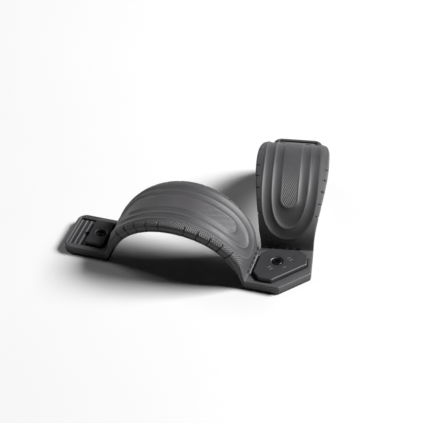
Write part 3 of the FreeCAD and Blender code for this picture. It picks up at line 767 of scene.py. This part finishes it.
class Nodes:
    """Short hand for building one material's node tree."""

    def __init__(self, name):
        self.material = bpy.data.materials.new(name)
        self.material.use_nodes = True
        self.tree = self.material.node_tree
        self.shader = self.tree.nodes["Principled BSDF"]

    def add(self, kind, inputs=None, **settings):
        node = self.tree.nodes.new(kind)
        for key, value in settings.items():
            setattr(node, key, value)
        for key, value in (inputs or {}).items():
            if isinstance(value, bpy.types.NodeSocket):
                self.tree.links.new(value, node.inputs[key])
            else:
                node.inputs[key].default_value = value
        return node

    def math(self, operation, a, b=0.0, c=0.0):
        return self.add("ShaderNodeMath", {0: a, 1: b, 2: c}, operation=operation).outputs[0]

    def noise(self, where, scale, detail=3.0, rough=0.5):
        made = self.add("ShaderNodeTexNoise", {"Vector": where, "Scale": scale, "Detail": detail,
                                               "Roughness": rough})
        return made.outputs["Fac"]

    def mark(self, name):
        return self.add("ShaderNodeAttribute", attribute_name=name).outputs["Fac"]

    def ramp(self, value, low, high, to_low, to_high):
        made = self.add("ShaderNodeMapRange", {"Value": value, "From Min": low, "From Max": high,
                                               "To Min": to_low, "To Max": to_high})
        return made.outputs["Result"]

    def ribs(self, where, direction, pitch):
        """Sine ribs across direction, pitch in the units of where."""
        turn = [2 * math.pi / pitch * x for x in direction]
        dot = self.add("ShaderNodeVectorMath", {0: where, 1: turn}, operation="DOT_PRODUCT")
        return self.math("SINE", dot.outputs["Value"])

    def shade(self, colour, brightness):
        """Base colour: colour times a varying brightness."""
        bright = self.add("ShaderNodeCombineColor", {0: brightness, 1: brightness, 2: brightness})
        mixed = self.add("ShaderNodeVectorMath", {0: bright.outputs[0], 1: colour}, operation="MULTIPLY")
        self.tree.links.new(mixed.outputs[0], self.shader.inputs["Base Color"])

    def rough(self, value):
        self.tree.links.new(value, self.shader.inputs["Roughness"])

    def bump(self, height, strength, distance, before=None):
        inputs = {"Height": height, "Strength": strength, "Distance": distance}
        if before is not None:
            inputs["Normal"] = before
        return self.add("ShaderNodeBump", inputs).outputs["Normal"]

    def finish(self, normal, **constants):
        self.tree.links.new(normal, self.shader.inputs["Normal"])
        for key, value in constants.items():
            self.shader.inputs[key.replace("_", " ")].default_value = value
        return self.material


def foam_skin(name, colour):
    """Moulded EVA foam: a woven skin on the bands, a hatch in the panel, a painted highlight along the crests
    and rims, and painted shade in the flutes, creases and edge cuts.
    """
    n = Nodes(name)
    surface = n.add("ShaderNodeUVMap", uv_map="Surface").outputs["UV"]
    space = n.add("ShaderNodeTexCoord").outputs["Object"]
    pitch = 1.9 / UV_UNIT
    diagonal = n.ribs(surface, (0.707, 0.707, 0), pitch)
    counter = n.ribs(surface, (0.707, -0.707, 0), pitch)
    weave = n.math("MULTIPLY_ADD", counter, 0.75, diagonal)
    hatch_a = n.ribs(surface, (0.5, 0.866, 0), 1.8 / UV_UNIT)
    hatch_b = n.ribs(surface, (0.5, -0.866, 0), 1.8 / UV_UNIT)
    hatch = n.math("MULTIPLY_ADD", hatch_b, 0.4, hatch_a)
    woven = n.math("MULTIPLY", weave, n.mark("twill"))
    crossed = n.math("MULTIPLY", hatch, n.mark("hatch"))
    fabric = n.math("MULTIPLY_ADD", crossed, 0.8, woven)
    clouds = n.noise(space, 45.0, 4.0)
    grain = n.noise(space, 2600.0, 2.0, 0.6)
    speckle = n.noise(space, 900.0, 3.0, 0.7)
    bright = n.ramp(clouds, 0.3, 0.7, 0.93, 1.07)
    bright = n.math("MULTIPLY", bright, n.ramp(speckle, 0.3, 0.7, 0.94, 1.06))
    bright = n.math("MULTIPLY", bright, n.math("MULTIPLY_ADD", fabric, 0.16, 1.0))
    # painted highlight along the crests and rims
    bright = n.math("MULTIPLY", bright, n.math("MULTIPLY_ADD", n.mark("rim"), 0.5, 1.0))
    # painted shade in the flutes, creases and edge cuts
    darkened = n.math("MULTIPLY_ADD", n.mark("crease_shade"), -0.42, 1.0)
    bright = n.math("MULTIPLY", bright, n.math("MAXIMUM", darkened, 0.1))
    n.shade(colour, bright)
    n.rough(n.math("MULTIPLY_ADD", clouds, 0.16, 0.42))
    fine = n.bump(grain, 0.3, 0.0003)
    return n.finish(n.bump(fabric, 0.55, 0.0003, fine), Sheen_Weight=0.03, Sheen_Roughness=0.5)


def cut_foam(name, colour):
    """Cut side of the foam: fine open cells."""
    n = Nodes(name)
    space = n.add("ShaderNodeTexCoord").outputs["Object"]
    cells = n.add("ShaderNodeTexVoronoi", {"Vector": space, "Scale": 1500.0}).outputs["Distance"]
    clouds = n.noise(space, 60.0, 4.0)
    bright = n.math("MULTIPLY", n.ramp(clouds, 0.3, 0.7, 0.9, 1.08), n.ramp(cells, 0, 0.8, 0.9, 1.05))
    n.shade(colour, bright)
    n.rough(n.ramp(clouds, 0.3, 0.7, 0.66, 0.8))
    return n.finish(n.bump(cells, 0.35, 0.0003))


def cloth(name, colour, pitch_mm, sheen):
    """Close woven lining or thread."""
    n = Nodes(name)
    space = n.add("ShaderNodeTexCoord").outputs["Object"]
    pitch = pitch_mm * MM
    one, two = n.ribs(space, (0.6, 0.8, 0.3), pitch), n.ribs(space, (0.8, -0.6, 0.3), pitch)
    weave = n.math("MULTIPLY", one, two)
    clouds = n.noise(space, 50.0, 4.0)
    bright = n.math("MULTIPLY", n.ramp(clouds, 0.3, 0.7, 0.88, 1.12), n.math("MULTIPLY_ADD", weave, 0.1, 1.0))
    n.shade(colour, bright)
    n.rough(n.ramp(clouds, 0.3, 0.7, 0.75, 0.9))
    return n.finish(n.bump(weave, 0.4, 0.0002), Sheen_Weight=sheen)


def rubber(name, colour):
    """Moulded rubber with a fine diamond knurl."""
    n = Nodes(name)
    space = n.add("ShaderNodeTexCoord").outputs["Object"]
    one, two = n.ribs(space, (0.707, 0.707, 0), 1.4 * MM), n.ribs(space, (0.707, -0.707, 0), 1.4 * MM)
    knurl = n.math("MULTIPLY", one, two)
    clouds = n.noise(space, 70.0, 4.0)
    n.shade(colour, n.math("MULTIPLY", n.ramp(clouds, 0.3, 0.7, 0.88, 1.12),
                           n.math("MULTIPLY_ADD", knurl, 0.08, 1.0)))
    n.rough(n.ramp(clouds, 0.3, 0.7, 0.55, 0.75))
    return n.finish(n.bump(knurl, 0.3, 0.0002))


def moulded_plastic(name, colour, low_rough, high_rough, painted_light_above=None):
    """Satin glass-filled plastic: fine spark-eroded grain, faint scuffs and paler worn edges, and a painted
    highlight on the tops above a height, with painted shade below it."""
    n = Nodes(name)
    space = n.add("ShaderNodeTexCoord").outputs["Object"]
    grain = n.noise(space, 3500.0, 2.0)
    clouds = n.noise(space, 80.0, 4.0)
    stretched = n.add("ShaderNodeMapping",
                      {"Vector": space, "Scale": (30, 900, 200), "Rotation": (0, 0, 0.6)})
    scuffs = n.noise(stretched.outputs[0], 3.0, 5.0, 0.7)
    pale_edges = n.ramp(n.add("ShaderNodeNewGeometry").outputs["Pointiness"], 0.5, 0.56, 0.0, 0.5)
    bright = n.math("MULTIPLY", n.ramp(clouds, 0.3, 0.7, 0.92, 1.08), n.ramp(scuffs, 0.55, 0.75, 1.0, 1.22))
    bright = n.math("MULTIPLY", bright, n.math("ADD", pale_edges, 1.0))
    if painted_light_above is not None:
        # painted highlight on the tops above the height, painted shade below it
        height = n.add("ShaderNodeSeparateXYZ", {0: space}).outputs["Z"]
        tops = n.ramp(height, (painted_light_above - 0.5) * MM, painted_light_above * MM, 0.4, 2.1)
        bright = n.math("MULTIPLY", bright, tops)
    n.shade(colour, bright)
    n.rough(n.ramp(scuffs, 0.35, 0.7, low_rough, high_rough))
    return n.finish(n.bump(grain, 0.2, 0.0002))


def coated_steel(name, colour):
    """Black coated steel with paler edges, part wear and part painted highlight."""
    n = Nodes(name)
    space = n.add("ShaderNodeTexCoord").outputs["Object"]
    clouds = n.noise(space, 300.0, 4.0)
    # painted highlight along the edges, with some wear
    pale_edges = n.ramp(n.add("ShaderNodeNewGeometry").outputs["Pointiness"], 0.52, 0.6, 0.0, 4.0)
    bright = n.math("ADD", n.ramp(clouds, 0.3, 0.7, 0.85, 1.15), pale_edges)
    n.shade(colour, bright)
    n.rough(n.ramp(clouds, 0.3, 0.7, 0.28, 0.42))
    return n.finish(n.bump(clouds, 0.1, 0.0001), Metallic=0.85)


FOAM = foam_skin("eva_foam_skin", (0.052, 0.05, 0.053))
# pale foam for the fine ribs by the folds: a painted highlight along them
RIB_HIGHLIGHT_FOAM = foam_skin("eva_foam_painted_highlight", (0.36, 0.352, 0.366))
CUT = cut_foam("eva_foam_cut", (0.06, 0.058, 0.061))
LINING = cloth("lining_cloth", (0.02, 0.0195, 0.0205), 0.9, 0.2)
# near-black: thread for the fold stitches, and painted shade for the ticks beside the rack
THREAD_AND_SHADE = cloth("black_thread_and_shade", (0.004, 0.004, 0.0045), 0.4, 0.0)
RUBBER = rubber("grip_rubber", (0.02, 0.0195, 0.0205))
BED = rubber("bed_rubber", (0.02, 0.0195, 0.0205))
PLATE = moulded_plastic("clamp_plastic", (0.018, 0.017, 0.0185), 0.4, 0.52)
# the rack's ribs: painted highlight on their tops, painted shade between them
RACK = moulded_plastic("rack_plastic", (0.04, 0.039, 0.041), 0.38, 0.52, 7.8)
CORE = moulded_plastic("core_sheet", (0.05, 0.05, 0.05), 0.5, 0.6)
MARK = moulded_plastic("worn_marks", (0.08, 0.078, 0.081), 0.4, 0.52)
STEEL = coated_steel("black_steel", (0.02, 0.02, 0.021))
# lighter than the screws' steel: a painted highlight on the washers' rims
WASHER_HIGHLIGHT_STEEL = coated_steel("washer_steel", (0.1, 0.1, 0.104))


def dress_cad_nodes():
    """Materials of the CAD nodes that show, by the ending of their names."""
    finishes = {"_sole": RUBBER, "_bed": BED, "_plate": PLATE, "_rack": RACK, "_core": CORE,
                "_screw": STEEL, "_cup_washer": WASHER_HIGHLIGHT_STEEL}
    for name, node in frame["nodes"].items():
        for ending, material in finishes.items():
            if name.endswith(ending):
                node.data.materials.clear()
                node.data.materials.append(material)


# ---------------------------------------------------------------- the object

centre_pad(FOAM, CUT)
plate_marks(MARK)
for arm in ARMS:
    strap_pieces(arm, FOAM, CUT)
    lining_pieces(arm, LINING)
    end_pad(arm, FOAM, CUT)
    fold_stitches(arm, THREAD_AND_SHADE)
    bed_ribs(arm, RIB_HIGHLIGHT_FOAM)
    end_shade_ticks(arm, THREAD_AND_SHADE)
dress_cad_nodes()


# ---------------------------------------------------------------- floor, light and camera

def floor():
    """Plain pale floor at the level of the deck."""
    size = 6.0
    mesh = bpy.data.meshes.new("floor")
    corners = [(-size, -size, 0), (size, -size, 0), (size, size, 0), (-size, size, 0)]
    mesh.from_pydata(corners, [], [(0, 1, 2, 3)])
    n = Nodes("floor")
    space = n.add("ShaderNodeTexCoord").outputs["Object"]
    n.shade((0.58, 0.58, 0.582), n.ramp(n.noise(space, 3.0), 0.3, 0.7, 0.99, 1.01))
    n.rough(n.ramp(n.noise(space, 40.0), 0.3, 0.7, 0.85, 0.9))
    mesh.materials.append(n.finish(n.bump(n.noise(space, 200.0), 0.02, 0.0002)))
    made = bpy.data.objects.new("floor", mesh)
    bpy.context.scene.collection.objects.link(made)


def area_light(name, azimuth, elevation, distance, size, power, target=(0, 0.06, 0.02)):
    """Square light; azimuth is where it stands, seen from above, 0 towards -Y and 90 towards +X."""
    lamp = bpy.data.lights.new(name, "AREA")
    lamp.size = size
    lamp.energy = power
    made = bpy.data.objects.new(name, lamp)
    a, e = math.radians(azimuth), math.radians(elevation)
    away = Vector((math.sin(a) * math.cos(e), -math.cos(a) * math.cos(e), math.sin(e)))
    made.location = Vector(target) + distance * away
    made.rotation_euler = away.to_track_quat("Z", "Y").to_euler()
    bpy.context.scene.collection.objects.link(made)


def sky(strength, seen):
    """Faint even light from all round; the backdrop itself is seen pale."""
    world = bpy.data.worlds.new("studio")
    bpy.context.scene.world = world
    world.use_nodes = True
    tree = world.node_tree
    background = tree.nodes["Background"]
    background.inputs["Color"].default_value = (1, 1, 1, 1)
    path = tree.nodes.new("ShaderNodeLightPath")
    level = tree.nodes.new("ShaderNodeMapRange")
    level.inputs["To Min"].default_value = strength
    level.inputs["To Max"].default_value = seen
    tree.links.new(path.outputs["Is Camera Ray"], level.inputs["Value"])
    tree.links.new(level.outputs["Result"], background.inputs["Strength"])


FOCAL_LENGTH = 117.37    # millimetres, on a 36 mm sensor


def camera():
    """Stands distance away from the origin, moved sideways by slide and upwards by lift in its own frame."""
    azimuth, elevation = math.radians(-33.28), math.radians(38.42)
    distance, slide, lift = 1.42777, -0.06769, 0.06178
    back = Vector((math.sin(azimuth) * math.cos(elevation), -math.cos(azimuth) * math.cos(elevation),
                   math.sin(elevation)))
    right = Vector((math.cos(azimuth), math.sin(azimuth), 0))
    up = back.cross(right)
    lens = bpy.data.cameras.new("camera")
    lens.sensor_width = 36.0
    lens.lens = FOCAL_LENGTH
    lens.clip_start = 0.05
    lens.clip_end = 50
    made = bpy.data.objects.new("camera", lens)
    made.matrix_world = Matrix.Translation(back * distance + right * slide + up * lift) @ Matrix(
        (right, up, back)).transposed().to_4x4()
    bpy.context.scene.collection.objects.link(made)
    bpy.context.scene.camera = made


floor()
sky(0.01, 0.95)
area_light("key", 63, 42, 5.0, 2.0, 620)
area_light("fill", 205, 38, 3.0, 1.2, 21)
camera()
bpy.context.scene.view_settings.view_transform = "Standard"
